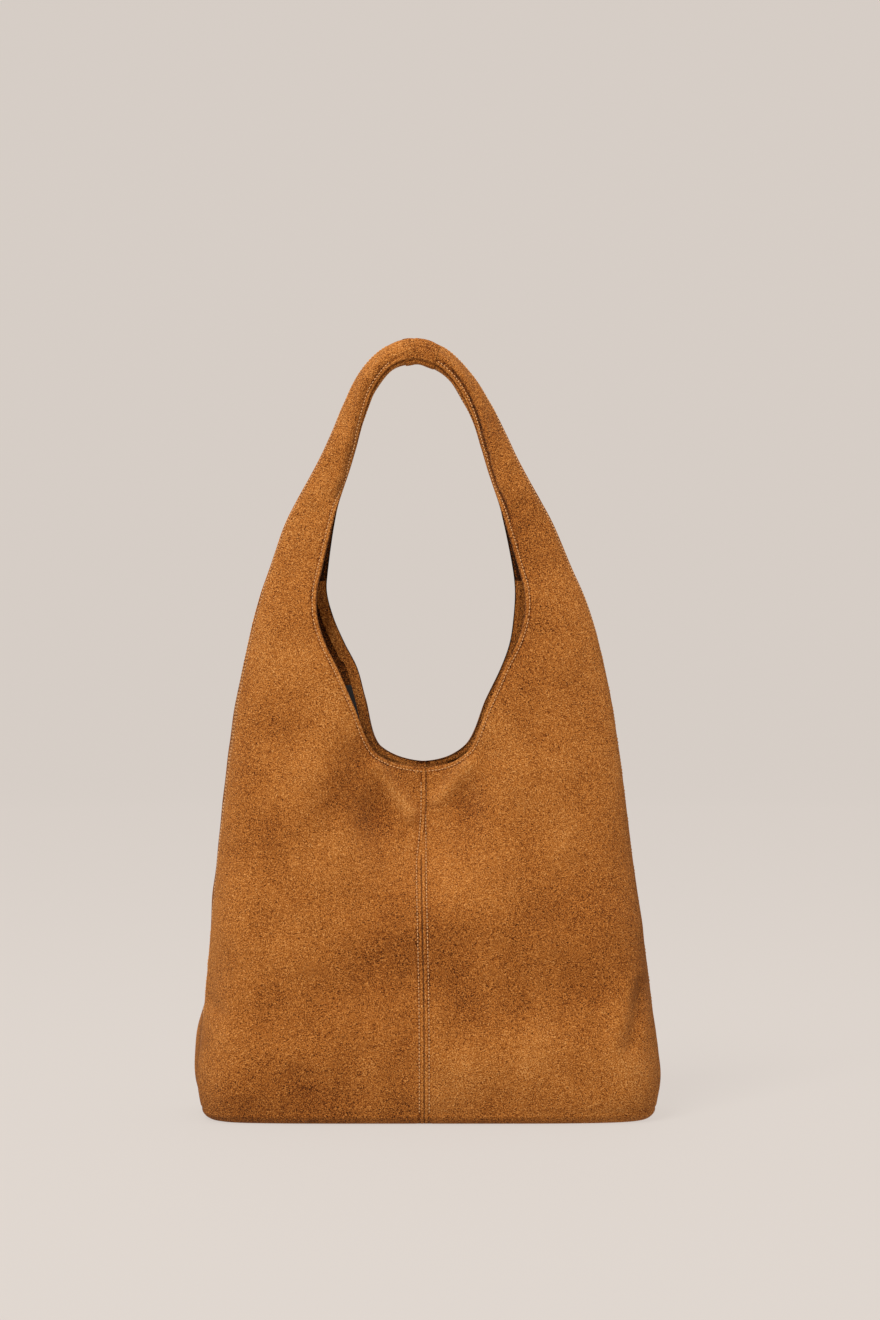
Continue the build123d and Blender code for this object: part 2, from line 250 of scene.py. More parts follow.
def half_edges(side, face):
    """Inner and outer edge of one half at every row, in the front view."""
    stations = STATIONS[side]
    other = STATIONS["right" if side == "left" else "left"][LAST - 1]
    points = stations[:, :2].copy()
    if face > 0:
        points[MOUTH:MOUTH + 9, 0] -= SIDES[side] * BACK_IN[side]
        points[MOUTH:MOUTH + 3, 1] += BACK_UP
    start, second = points[MOUTH], points[MOUTH + 1]
    mirrored = np.array([2 * start[0] - second[0], second[1]])
    low = spline(points[:MOUTH + 1], np.minimum(ROWS, MOUTH))
    high = spline(points[MOUTH:], np.maximum(ROWS - MOUTH, 0), before=mirrored, after=other[:2])
    inner = np.where((ROWS < MOUTH)[:, None], low, high)
    return inner, spline(stations[:, 2:4], ROWS, after=other[2:4])


def section_points(side, face, inner, outer):
    """Rows from the inner to the outer edge: x, y, z, share of the half width, and half depth."""
    u = ROWS
    depth = spline(DEPTH[:, None], u)
    blunt = np.interp(u, np.arange(len(BLUNT)), BLUNT)[:, None]
    cx = centre_x(u)[:, None]
    q_in = np.clip(np.abs(inner[:, :1] - cx) / np.abs(outer[:, :1] - cx), 0, 0.9)
    q_in = np.where(u[:, None] <= MOUTH, 0, q_in * (1 - smooth(u, 11.5, 15))[:, None])
    fine = 1 - (1 - np.linspace(0, 1, 500)) ** 1.6
    q = q_in + (1 - q_in) * fine
    d = depth * (1 - np.minimum(q, 1) ** blunt) ** (1 / blunt)
    x = inner[:, :1] + (outer[:, :1] - inner[:, :1]) * fine
    z = inner[:, 1:] + (outer[:, 1:] - inner[:, 1:]) * fine
    # the strap's inner rims curl in, and the snap pinches the middle of the mouth
    curl = 0.9 * smooth(u, 12.5, 15.5)[:, None]
    d = d * (1 - curl * np.clip(1 - q / 0.34, 0, 1) ** 2)
    pinch = 0.78 * smooth(z, 150, 262) * (1 - smooth(u, 5.5, 9))[:, None]
    d = d * (1 - pinch * np.exp(-(((x - cx) / 47) ** 2)))
    # the rolled lower edge
    turn = np.arccos(np.clip(1 - np.minimum(z, ROLL) / ROLL, -1, 1))
    inset = ROLL * (1 - np.sin(turn))
    x = cx + (x - cx) * (1 - inset / BASE_HALF)
    d = d * (1 - inset / depth)
    y = face * d
    # the left side seam lies a little in front and inboard, so the back wall wraps round to it
    if side == "left":
        below = (1 - smooth(u, 9, 13))[:, None]
        full = np.minimum(1, depth / 30)
        near_seam = np.clip(1 - d / (0.55 * depth), 0, 1) * below
        y = y - 0.16 * depth * near_seam**2
        x = x + SEAM_IN * near_seam * full
        if face < 0:
            x = x + SEAM_IN * smooth(q, 0.8, 1.0) * (1 - near_seam) * below * full
    return x, y, z, q, d


def twist_rows(side, inner, outer, x, y, z, d):
    """Turn every row round the strap's own length by the twist of its station, and keep the row's width."""
    twist = np.radians(np.interp(ROWS, np.arange(LAST + 1), STATIONS[side][:, 4]))
    e = outer - inner
    e = e / np.linalg.norm(e, axis=1)[:, None]
    mid = (inner + outer) / 2
    a = (x - mid[:, :1]) * e[:, :1] + (z - mid[:, 1:]) * e[:, 1:]
    off = -(x - mid[:, :1]) * e[:, 1:] + (z - mid[:, 1:]) * e[:, :1]
    c, s = np.cos(twist)[:, None], np.sin(twist)[:, None]
    turned_high = (a * c + d * s).max(axis=1, keepdims=True)
    turned_low = (a * c - d * s).min(axis=1, keepdims=True)
    width = np.ptp(a, axis=1)[:, None]
    lowest = a.min(axis=1, keepdims=True)
    a, y = a * c - y * s, a * s + y * c
    a = np.where(s > 0, lowest + (a - turned_low) * width / (turned_high - turned_low), a)
    return mid[:, :1] + a * e[:, :1] - off * e[:, 1:], y, mid[:, 1:] + a * e[:, 1:] + off * e[:, :1]


def spread(x, y, z, q):
    """Points along each row, closest near its ends, with their share and distance from each end."""
    step = np.sqrt(np.diff(x) ** 2 + np.diff(y) ** 2 + np.diff(z) ** 2)
    length = np.concatenate([np.zeros((len(x), 1)), np.cumsum(step, axis=1)], axis=1)
    total = length[:, -1]
    columns = []
    for end in total:
        near = NEAR * min(1, end / (3 * NEAR[-1]))
        between = np.linspace(near[-1], end - near[-1], MIDDLE + 2)[1:-1]
        columns.append([*near, *between, *(end - near[::-1])])
    columns = np.array(columns)
    p = np.zeros((*columns.shape, 3))
    share = np.zeros(columns.shape)
    for i, places in enumerate(columns):
        for axis, values in enumerate((x, y, z)):
            p[i, :, axis] = np.interp(places, length[i], values[i])
        share[i] = np.interp(places, length[i], q[i])
    return p, share, columns, total[:, None] - columns


def half_grid(side, face):
    """One half of a wall with its strap band. Rows go up, columns go outwards from the inner edge."""
    u = ROWS
    sign = SIDES[side]
    inner, outer = half_edges(side, face)
    x, y, z, q, d = section_points(side, face, inner, outer)
    x, y, z = twist_rows(side, inner, outer, x, y, z, d)
    p, share, from_in, from_out = spread(x, y, z, q)
    p = push(p, folds(p[..., 0], p[..., 2], face) * smooth(from_out, 2, 26) * smooth(p[..., 2], 4, 26)
             * (1 - 0.9 * smooth(u, 9, 13))[:, None], face)
    # crumple of the strap band
    along = u[:, None] * 27
    crumple = 0.45 * np.sin(along / 9 + share * 5 + face) + 0.3 * np.sin(along / 5.3 - share * 9 + 2 * sign)
    p = push(p, crumple * smooth(u, 11, 14)[:, None] * smooth(from_out, 2, 9) * smooth(from_in, 1, 6), face)
    # seams and turned edges
    from_seam = np.where((u < MOUTH)[:, None], from_in, 99.0)
    from_edge = edge_distance(p, u, centre_x(u)[-1])
    run = p[..., 2] + 0.8 * np.abs(p[..., 0])
    pucker = 1 + 0.4 * np.sin(run / 3.1 + 1.7 * sign) + 0.3 * np.sin(run / 1.9)
    nearest = np.minimum(np.minimum(from_seam, from_edge), from_out)
    sink = EDGE - np.sqrt(np.clip(EDGE**2 - np.clip(EDGE - nearest, 0, EDGE) ** 2, 0, None))
    sink += 0.5 * pucker * np.exp(-(((nearest - 4.0) / 1.2) ** 2))
    sink += 0.9 * np.exp(-(((p[..., 2] - 9.5) / 1.5) ** 2)) * (u < 1)[:, None]
    # the strap's dark slit shows on the right front band only
    slit = np.zeros(from_in.shape)
    if side == "right" and face < 0:
        slit = (np.exp(-(((from_in - 6.0) / 0.9) ** 2))
                * (smooth(u, 12.8, 14) * (1 - smooth(u, 19.3, 20.3)))[:, None])
    sink += 1.5 * slit
    n = normals(p, face)
    n[u <= MOUTH, 0, 0] = 0
    n[:, 0] /= np.linalg.norm(n[:, 0], axis=1)[:, None]
    p = p - n * sink[..., None]
    return {"p": p, "n": n, "u": u, "slit": slit, "seam": from_seam, "edge": from_edge, "in": from_in,
            "out": from_out}


def edge_distance(p, u, cx):
    """Distance of every grid point from the free inner edge, which starts at the bottom of the mouth."""
    line = p[u >= MOUTH, 0]
    mirrored = line[1:4][::-1] * np.array([-1, 1, 1]) + np.array([2 * cx, 0, 0])
    line = np.vstack([mirrored, line])
    start, step = line[:-1], np.diff(line, axis=0)
    square = np.maximum((step**2).sum(axis=1), 1e-9)
    result = np.full(p.shape[:2], 99.0)
    for i in np.where(u > 3.6)[0]:
        gap = p[i][:, None] - start[None]
        t = np.clip((gap * step).sum(axis=2) / square, 0, 1)
        result[i] = np.linalg.norm(gap - t[..., None] * step, axis=2).min(axis=1)
    return result


def normals(p, face):
    """Outward normals of a grid. Where rows and columns run nearly the same way, near points give them."""
    du = np.gradient(p, axis=0)
    dv = np.gradient(p, axis=1)
    n = np.cross(du, dv)
    size = np.linalg.norm(n, axis=2)
    clear = size > 0.42 * np.linalg.norm(du, axis=2) * np.linalg.norm(dv, axis=2)
    n /= np.maximum(size, 1e-9)[..., None]
    middle = n[: len(n) // 3, 5:40, 1].mean()
    n = n if middle * face > 0 else -n
    rows = np.where(~clear.all(axis=1) & (ROWS > 4) & (ROWS < 8))[0]
    if len(rows):
        near = np.zeros(clear.shape, bool)
        near[rows[0] - 8:rows[-1] + 9] = True
        poor, good = near & ~clear, near & clear
        gap = ((p[poor][:, None] - p[good][None]) ** 2).sum(axis=2)
        weight = np.exp(-gap / 30) + 1e-9 / (1 + gap)
        mended = weight @ n[good]
        n[poor] = mended / np.linalg.norm(mended, axis=1)[:, None]
    return n


def push(p, amount, face):
    """The grid moved outwards by an amount for every point."""
    return p + normals(p, face) * amount[..., None]


# ---- meshes ----
def grid_faces(rows, cols, first=0, flip=False):
    i = np.arange((rows - 1) * cols).reshape(rows - 1, cols)[:, :-1].ravel() + first
    quads = np.stack([i, i + 1, i + 1 + cols, i + cols], axis=1)
    return quads[:, ::-1] if flip else quads


def sheet_faces(rows, cols, flip):
    """Faces of a closed sheet: an outer grid, an inner grid after it, and a rim round them."""
    n = rows * cols
    ring = [*range(cols), *(r * cols + cols - 1 for r in range(1, rows)),
            *((rows - 1) * cols + c for c in range(cols - 2, -1, -1)),
            *(r * cols for r in range(rows - 2, 0, -1))]
    ring = np.array(ring)
    ahead = np.roll(ring, -1)
    rim = np.stack([ring, ring + n, ahead + n, ahead], axis=1)
    faces = np.vstack([grid_faces(rows, cols), grid_faces(rows, cols, n, True), rim])
    return faces[:, ::-1] if flip else faces


def make(name, verts, faces, material, shade=None):
    """A piece from vertices in millimetres, with its rest place and its tone of painted light and shade
    stored at every vertex.
    """
    mesh = bpy.data.meshes.new(name)
    mesh.from_pydata((np.asarray(verts) * MM).tolist(), [], [list(map(int, f)) for f in faces])
    mesh.validate()
    mesh.update()
    attribute = mesh.attributes.new("rest", "FLOAT_VECTOR", "POINT")
    co = np.zeros(len(mesh.vertices) * 3, np.float32)
    mesh.vertices.foreach_get("co", co)
    attribute.data.foreach_set("vector", co)
    # tone of painted light and shade at every vertex
    painted_shading = mesh.attributes.new("painted_shading", "FLOAT", "POINT")
    if shade is not None:
        painted_shading.data.foreach_set("value", np.asarray(shade, np.float32))
    mesh.polygons.foreach_set("use_smooth", [True] * len(mesh.polygons))
    mesh.set_sharp_from_angle(angle=math.radians(62))
    mesh.materials.append(material)
    obj = bpy.data.objects.new(name, mesh)
    bpy.context.scene.collection.objects.link(obj)
    return obj


def bend_mouth(obj):
    """Bakes the piece's place into its mesh and reads its vertex positions."""
    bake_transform(obj)
    co = np.zeros(len(obj.data.vertices) * 3, np.float32)
    obj.data.vertices.foreach_get("co", co)


def bend_strap(obj):
    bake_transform(obj)


# ---- materials ----
def new_material(name):
    material = bpy.data.materials.new(name)
    material.use_nodes = True
    nodes = material.node_tree.nodes
    nodes.clear()
    out = nodes.new("ShaderNodeOutputMaterial")
    bsdf = nodes.new("ShaderNodeBsdfPrincipled")
    material.node_tree.links.new(bsdf.outputs[0], out.inputs[0])
    return material, nodes, material.node_tree.links, bsdf


def coords(nodes, own):
    """Rest coordinates: from the mesh attribute for our own pieces, else the object's own."""
    if own:
        node = nodes.new("ShaderNodeAttribute")
        node.attribute_name = "rest"
        return node.outputs["Vector"]
    return nodes.new("ShaderNodeTexCoord").outputs["Object"]


def noise(nodes, links, vector, scale, detail, stretch):
    node = nodes.new("ShaderNodeTexNoise")
    node.inputs["Scale"].default_value = scale
    node.inputs["Detail"].default_value = detail
    node.inputs["Roughness"].default_value = 0.6
    if stretch:
        mapping = nodes.new("ShaderNodeMapping")
        mapping.inputs["Scale"].default_value = stretch
        links.new(vector, mapping.inputs["Vector"])
        vector = mapping.outputs[0]
    links.new(vector, node.inputs["Vector"])
    return node.outputs["Fac"]


def maths(nodes, links, kind, a, b):
    node = nodes.new("ShaderNodeMath")
    node.operation = kind
    for socket, value in zip(node.inputs, (a, b)):
        if isinstance(value, (int, float)):
            socket.default_value = value
        else:
            links.new(value, socket)
    return node.outputs[0]


def weigh(nodes, links, parts):
    """Sum of (noise minus a half) times a weight, plus a half."""
    total = 0.5
    for value, weight in parts:
        centred = maths(nodes, links, "SUBTRACT", value, 0.5)
        total = maths(nodes, links, "ADD", maths(nodes, links, "MULTIPLY", centred, weight), total)
    return total


def ramp(nodes, links, value, stops):
    node = nodes.new("ShaderNodeValToRGB")
    while len(node.color_ramp.elements) < len(stops):
        node.color_ramp.elements.new(0.5)
    for element, (place, colour) in zip(node.color_ramp.elements, stops):
        element.position = place
        element.color = (*colour, 1)
    links.new(value, node.inputs[0])
    return node.outputs[0]


def textured(name, stops, grains, roughness, bump_height, sheen=0.0, metal=0.0, own=True, painted_shading=0.0,
             sheen_tint=None, rough_swing=0.12, specular=0.5):
    """Material whose colour, roughness and bump all come from the same few noises."""
    material, nodes, links, bsdf = new_material(name)
    vector = coords(nodes, own)
    tones = [(noise(nodes, links, vector, scale, detail, stretch), weight)
             for scale, detail, weight, _, stretch in grains]
    value = weigh(nodes, links, tones)
    # painted light and shade from the vertex attribute shifts the colour, and the roughness with it
    if painted_shading:
        node = nodes.new("ShaderNodeAttribute")
        node.attribute_name = "painted_shading"
        value = maths(nodes, links, "ADD", value, maths(nodes, links, "MULTIPLY", node.outputs["Fac"], painted_shading))
    links.new(ramp(nodes, links, value, stops), bsdf.inputs["Base Color"])
    swing = maths(nodes, links, "MULTIPLY", maths(nodes, links, "SUBTRACT", value, 0.5), rough_swing)
    rough = maths(nodes, links, "ADD", swing, roughness)
    links.new(rough, bsdf.inputs["Roughness"])
    height = weigh(nodes, links, [(tone[0], grain[3]) for tone, grain in zip(tones, grains)])
    node = nodes.new("ShaderNodeBump")
    node.inputs["Strength"].default_value = 1.0
    node.inputs["Distance"].default_value = bump_height
    links.new(height, node.inputs["Height"])
    links.new(node.outputs[0], bsdf.inputs["Normal"])
    bsdf.inputs["Metallic"].default_value = metal
    bsdf.inputs["Specular IOR Level"].default_value = specular
    bsdf.inputs["Sheen Weight"].default_value = sheen
    bsdf.inputs["Sheen Roughness"].default_value = 0.45
    if sheen_tint:
        bsdf.inputs["Sheen Tint"].default_value = (*sheen_tint, 1)
    return material


# grains: scale, detail, weight in the tone, weight in the height, stretch
NAP = [
    (9, 2.0, 0.55, 0.0, None),
    (30, 3.0, 0.26, 0.10, (1.0, 1.0, 0.55)),
    (150, 3.0, 0.18, 0.35, None),
    (620, 3.0, 0.62, 0.7, None),
    (1200, 2.0, 2.40, 1.3, None),
]
# the darkest stop lets the painted shade inside the bag reach near black
SUEDE_TONES = [(0.0, (0.020, 0.006, 0.002)), (0.20, (0.170, 0.040, 0.006)), (0.50, (0.405, 0.132, 0.021)),
               (0.80, (0.610, 0.240, 0.052)), (1.0, (0.760, 0.370, 0.120))]
suede = textured(
    "suede", SUEDE_TONES,
    NAP, 0.94, 0.0013, sheen=0.16, painted_shading=1.0, sheen_tint=(1.0, 0.62, 0.32), specular=0.06)
thread = textured(
    "thread", [(0.2, (0.50, 0.22, 0.075)), (0.8, (0.80, 0.46, 0.19))],
    [(900, 2.0, 0.8, 1.0, (1, 1, 3)), (60, 2.0, 0.5, 0.0, None)], 0.6, 0.0002, specular=0.3)
lining = textured(
    "lining", [(0.2, (0.006, 0.005, 0.005)), (0.8, (0.030, 0.026, 0.024))],
    [(40, 3.0, 0.5, 0.3, None), (1400, 2.0, 0.6, 1.0, None)], 0.72, 0.0004, specular=0.3)
pocket_lining = textured(
    "pocket_lining", [(0.2, (0.006, 0.005, 0.005)), (0.8, (0.030, 0.026, 0.024))],
    [(40, 3.0, 0.5, 0.3, None), (1400, 2.0, 0.6, 1.0, None)], 0.72, 0.0004, specular=0.3, own=False)
pocket_facing = textured(
    "pocket_facing", SUEDE_TONES,
    NAP, 0.94, 0.0013, sheen=0.16, own=False, sheen_tint=(1.0, 0.62, 0.32), specular=0.06)
board = textured(
    "board", [(0.2, (0.16, 0.13, 0.10)), (0.8, (0.30, 0.25, 0.20))],
    [(120, 4.0, 0.6, 0.4, None), (900, 3.0, 0.6, 1.0, (1, 6, 1))], 0.85, 0.0003, own=False)
tape = textured(
    "zip_tape", [(0.2, (0.008, 0.007, 0.007)), (0.8, (0.036, 0.032, 0.030))],
    [(1100, 2.0, 0.7, 1.0, (1, 1, 0.4)), (90, 2.0, 0.5, 0.0, None)], 0.8, 0.0003, own=False)
coil = textured(
    "zip_coil", [(0.2, (0.010, 0.009, 0.009)), (0.8, (0.040, 0.036, 0.034))],
    [(800, 1.0, 0.7, 1.0, (1, 0.2, 0.2))], 0.45, 0.0005, own=False)
brass = textured(
    "brass", [(0.2, (0.42, 0.26, 0.09)), (0.8, (0.72, 0.50, 0.22))],
    [(45, 4.0, 0.6, 0.0, None), (1200, 2.0, 0.5, 1.0, (1, 8, 1))], 0.33, 0.00008, metal=1.0, own=False,
    rough_swing=0.3)
magnet = textured(
    "magnet", [(0.2, (0.20, 0.20, 0.20)), (0.8, (0.38, 0.38, 0.37))],
    [(60, 4.0, 0.6, 0.2, None), (900, 2.0, 0.5, 1.0, None)], 0.42, 0.0001, metal=1.0, own=False,
    rough_swing=0.3)
washer = textured(
    "washer", [(0.2, (0.30, 0.29, 0.28)), (0.8, (0.55, 0.54, 0.52))],
    [(80, 4.0, 0.6, 0.2, None), (1300, 2.0, 0.5, 1.0, None)], 0.38, 0.00008, metal=1.0, own=False,
    rough_swing=0.3)

# ---- walls and strap bands ----
grids = {(side, name): half_grid(side, face) for side in SIDES for name, face in FACES.items()}
split_row = int(np.argmin(np.abs(ROWS - SPLIT)))


def part_of(grid, rows):
    return {key: value[rows] for key, value in grid.items()}


def thick_sheet(grid, thickness):
    """Vertices of the grid's outside, then of its inside."""
    inner = grid["p"] - grid["n"] * thickness
    return np.vstack([grid["p"].reshape(-1, 3), inner.reshape(-1, 3)])


def painted_light_and_shade(grid, side, face):
    """Painted light and shade: lighter just inside the edges, painted highlights on raised folds and ridges,
    painted shade in the stitch channels, at the seams, in the dents and the slit, and low down.
    """
    u = grid["u"][:, None]
    edge = np.minimum(np.minimum(grid["seam"], grid["edge"]), grid["out"])
    # lighter just inside the edges, and painted shade in the stitch channel about 4 mm in
    tone = 0.10 * np.exp(-((edge - 1.6) / 0.9) ** 2) - 0.24 * np.exp(-(((edge - 3.8) / 0.9) ** 2))
    # painted shade right at the edges and seams, where they turn in
    tone = tone - 0.22 * np.exp(-((edge / 0.6) ** 2))
    # painted shade low down, darkest on the rolled lower edge by the floor
    tone = tone - 0.07 * (1 - smooth(u, 0.4, 2.6)) - 0.12 * (1 - smooth(u, 0, 0.28))
    x, z = grid["p"][..., 0], grid["p"][..., 2]
    # painted shade in the strap's slit
    tone = tone - 0.55 * grid["slit"]
    # painted shade on the back wall where it turns round to the left side seam
    if face > 0 and side == "left":
        tone = tone - 0.20 * (1 - smooth(grid["out"], 10, 26)) * (1 - smooth(u, 10, 12))
    # painted highlights along the ridges that run from the mouth to the snap, and painted shade in the dents
    # beside it
    if face < 0:
        tone = tone + 0.13 * ridge(x, z, (-41, MOUTH_Z - 2), (-13, SNAP_Z - 13), 4.5)
        tone = tone + 0.12 * ridge(x, z, (37, MOUTH_Z + 2), (10, SNAP_Z - 1), 4.2)
        tone = tone - 0.17 * bump(x, z, -46, SNAP_Z - 17, 17, 20) - 0.07 * bump(x, z, 36, SNAP_Z - 9, 13, 18)
    # raised folds painted lighter and hollows painted darker, as light and shade
    return tone + 0.015 * np.clip(folds(x, z, face), -6, 4) * (1 - smooth(u, 9, 12))


for (side, name), grid in grids.items():
    for level, rows in (("wall", slice(0, split_row + 1)), ("band", slice(split_row, None))):
        piece = part_of(grid, rows)
        p = piece["p"]
        face_normal = np.cross(p[5, 11] - p[5, 10], p[6, 10] - p[5, 10])
        flip = bool(face_normal @ piece["n"][5, 10] < 0)
        tone = painted_light_and_shade(piece, side, FACES[name])
        # painted shade on the inside face, darker still from above the mouth up into the strap's channel
        inside = (tone - 0.16 - 0.30 * smooth(piece["u"], 6.5, 8.5)[:, None]).ravel()
        tone = tone.ravel()
        obj = make(f"{name}_{level}_{side}", thick_sheet(piece, SUEDE), sheet_faces(*piece["in"].shape, flip),
                   suede, shade=np.concatenate([tone, inside]))
        if level == "wall":
            bend_mouth(obj)
            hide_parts(f"{name}_panel_{side}", f"{name}_mouth_{side}")
        else:
            bend_strap(obj)
            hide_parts(f"strap_{name}_{side}")


# ---- stitches ----
def capsule():
    """One stitch along X, 2.1 mm long: a bead of thread that dips at both ends."""
    half = [(0.5, 0.39, 0.05), (0.9, 0.30, -0.2), (1.05, 0.08, -0.5)]
    rings = [*((-x, radius, lift) for x, radius, lift in half[::-1]), (0.0, 0.42, 0.14), *half]
    verts, faces = [], []
    for x, radius, lift in rings:
        for s in range(6):
            a = 2 * math.pi * s / 6
            verts.append((x, radius * math.cos(a), radius * math.sin(a) + lift))
    for r in range(len(rings) - 1):
        for s in range(6):
            faces.append((r * 6 + s, r * 6 + (s + 1) % 6, (r + 1) * 6 + (s + 1) % 6, (r + 1) * 6 + s))
    return np.array(verts), np.array(faces)


BEAD, BEAD_FACES = capsule()
PITCH = 2.9


def stitch_line(grid, edge, distance, low, high):
    """Points and normals of the line that runs at a distance from an edge, between two stations."""
    keep = np.where((grid["u"] >= low) & (grid["u"] <= high))[0]
    points, up = [], []
    for i in keep:
        along = grid[edge][i] if edge == "in" else grid[edge][i][::-1]
        for store, values in ((points, grid["p"][i]), (up, grid["n"][i])):
            values = values if edge == "in" else values[::-1]
            store.append([np.interp(distance, along, values[:, a]) for a in range(3)])
    return np.array(points), np.array(up)


def edge_line(grid, distance, low, high):
    """The line that runs at a distance from the free inner edge, between two stations."""
    keep = np.where((grid["u"] >= low) & (grid["u"] <= high))[0]
    line = grid["p"][keep, 0]
    tangent = np.gradient(line, axis=0)
    tangent /= np.linalg.norm(tangent, axis=1)[:, None]
    across = np.cross(grid["n"][keep, 0], tangent)
    across /= np.linalg.norm(across, axis=1)[:, None]
    inwards = grid["p"][keep, 14] - line
    inwards[grid["u"][keep] < 6.4] = (0, 0, -1)
    across *= np.sign((across * inwards).sum(axis=1))[:, None]
    wanted = line + across * distance
    flat, up = grid["p"].reshape(-1, 3), grid["n"].reshape(-1, 3)
    points, normal = [], []
    for place in wanted:
        i = int(((flat - place) ** 2).sum(axis=1).argmin())
        points.append(place - up[i] * ((place - flat[i]) @ up[i]))
        normal.append(up[i])
    return np.array(points), np.array(normal)


def beads(points, up, rng):
    """Stitches along a line, each a little out of place and turned by chance, and their number."""
    steps = np.linalg.norm(np.diff(points, axis=0), axis=1)
    length = np.concatenate([[0], np.cumsum(steps)])
    places = np.arange(PITCH / 2, length[-1] - PITCH / 2, PITCH)
    places = places + rng.normal(0, 0.09, len(places))
    at = np.stack([np.interp(places, length, points[:, a]) for a in range(3)], axis=1)
    ahead = np.stack([np.interp(places + 1.0, length, points[:, a]) for a in range(3)], axis=1)
    behind = np.stack([np.interp(places - 1.0, length, points[:, a]) for a in range(3)], axis=1)
    n = np.stack([np.interp(places, length, up[:, a]) for a in range(3)], axis=1)
    t = ahead - behind
    t /= np.linalg.norm(t, axis=1)[:, None]
    n -= (n * t).sum(1)[:, None] * t
    n /= np.linalg.norm(n, axis=1)[:, None]
    b = np.cross(n, t)
    turn = rng.normal(0, 0.07, len(places))[:, None]
    t, b = t * np.cos(turn) + b * np.sin(turn), b * np.cos(turn) - t * np.sin(turn)
    at = at + n * 0.22
    verts = at[:, None] + BEAD[:, 0][None, :, None] * t[:, None] + BEAD[:, 1][None, :, None] * b[:, None] \
        + BEAD[:, 2][None, :, None] * n[:, None]
    return verts.reshape(-1, 3), len(places)


rng = np.random.default_rng(7)
for name in FACES:
    for level in ("wall", "band"):
        pool, count = [], 0
        for side in SIDES:
            grid = grids[side, name]
            if level == "wall":
                lines = [stitch_line(grid, "in", 4.0, 0.30, MOUTH - 0.12), edge_line(grid, 3.4, MOUTH, SPLIT),
                         stitch_line(grid, "out", 4.0, 0.33, SPLIT)]
            else:
                lines = [edge_line(grid, 3.4, SPLIT, 20.2), stitch_line(grid, "out", 4.0, SPLIT, 20.2)]
            for points, up in lines:
                verts, made = beads(points, up, rng)
                pool.append(verts)
                count += made
        faces = (BEAD_FACES[None] + (np.arange(count) * len(BEAD))[:, None, None]).reshape(-1, 4)
        obj = make(f"{name}_{level}_stitching", np.vstack(pool), faces, thread)
        if level == "wall":
            bend_mouth(obj)
        else:
            bend_strap(obj)


def joined(parts):
    """Several vertex and face arrays as one."""
    verts, faces, first = [], [], 0
    for v, f in parts:
        verts.append(v)
        faces.append(f + first)
        first += len(v)
    return np.vstack(verts), np.vstack(faces)


def layer(grid, chosen, top, bottom):
    """Closed sheet under the chosen grid points, between two depths below the wall's outside."""
    rows, cols = chosen.shape
    cells = chosen[:-1, :-1] & chosen[1:, :-1] & chosen[:-1, 1:] & chosen[1:, 1:]
    quads = grid_faces(rows, cols)[cells.ravel()]
    outer = grid["p"] - grid["n"] * np.broadcast_to(top, chosen.shape)[..., None]
    inner = grid["p"] - grid["n"] * np.broadcast_to(bottom, chosen.shape)[..., None]
    verts = np.vstack([outer.reshape(-1, 3), inner.reshape(-1, 3)])
    edges = np.vstack([quads[:, [k, (k + 1) % 4]] for k in range(4)])
    known = set(map(tuple, edges.tolist()))
    n = rows * cols
    rim = np.array([(b, a, a + n, b + n) for a, b in known if (b, a) not in known])
    faces = np.vstack([quads, quads[:, ::-1] + n, rim])
    i, j = np.argwhere(cells)[len(np.argwhere(cells)) // 2]
    p = grid["p"]
    if np.cross(p[i, j + 1] - p[i, j], p[i + 1, j] - p[i, j]) @ grid["n"][i, j] < 0:
        faces = faces[:, ::-1]
    used, index = np.unique(faces, return_inverse=True)
    return verts[used], index.reshape(faces.shape)


# ---- facings: a strip inside the mouth's edge, and the tab that carries the snap ----
for name in FACES:
    parts = []
    for side in SIDES:
        grid = grids[side, name]
        x, z = grid["p"][..., 0], grid["p"][..., 2]
        level = np.broadcast_to(grid["u"][:, None], x.shape)
        strip = (grid["edge"] > 0.5) & (grid["edge"] < 10) & (level < 11.6)
        tab = (np.abs(x - MIDDLE_X) < 19) & (z > 240) & (level < 6.6) & (grid["edge"] > 0.5)
        parts.append(layer(grid, strip | tab, SUEDE + 0.02, SUEDE + 1.2))
    verts, faces = joined(parts)
    obj = make(f"{name}_mouth_facing", verts, faces, suede, shade=np.full(len(verts), -0.06))
    bend_mouth(obj)
    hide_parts(f"mouth_facing_{name}")


# ---- lining: loose low down, close to the wall under the facings ----
def lining_gap(grid):
    z = grid["p"][..., 2]
    loose = 3.4 * (1 - smooth(z, 170, 262)) + 0.35
    return SUEDE + loose


for name in FACES:
    parts = []
    for side in SIDES:
        grid = grids[side, name]
        z = grid["p"][..., 2]
        level = np.broadcast_to(grid["u"][:, None], z.shape)
        chosen = (level > 0.18) & (level < 9.3) & (z < 358) & (grid["edge"] > 7) & (grid["out"] > 6)
        gap = lining_gap(grid)
        parts.append(layer(grid, chosen, gap, gap + 0.7))
    verts, faces = joined(parts)
    obj = make(f"{name}_lining", verts, faces, lining)
    bend_mouth(obj)
    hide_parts(f"lining_{name}")


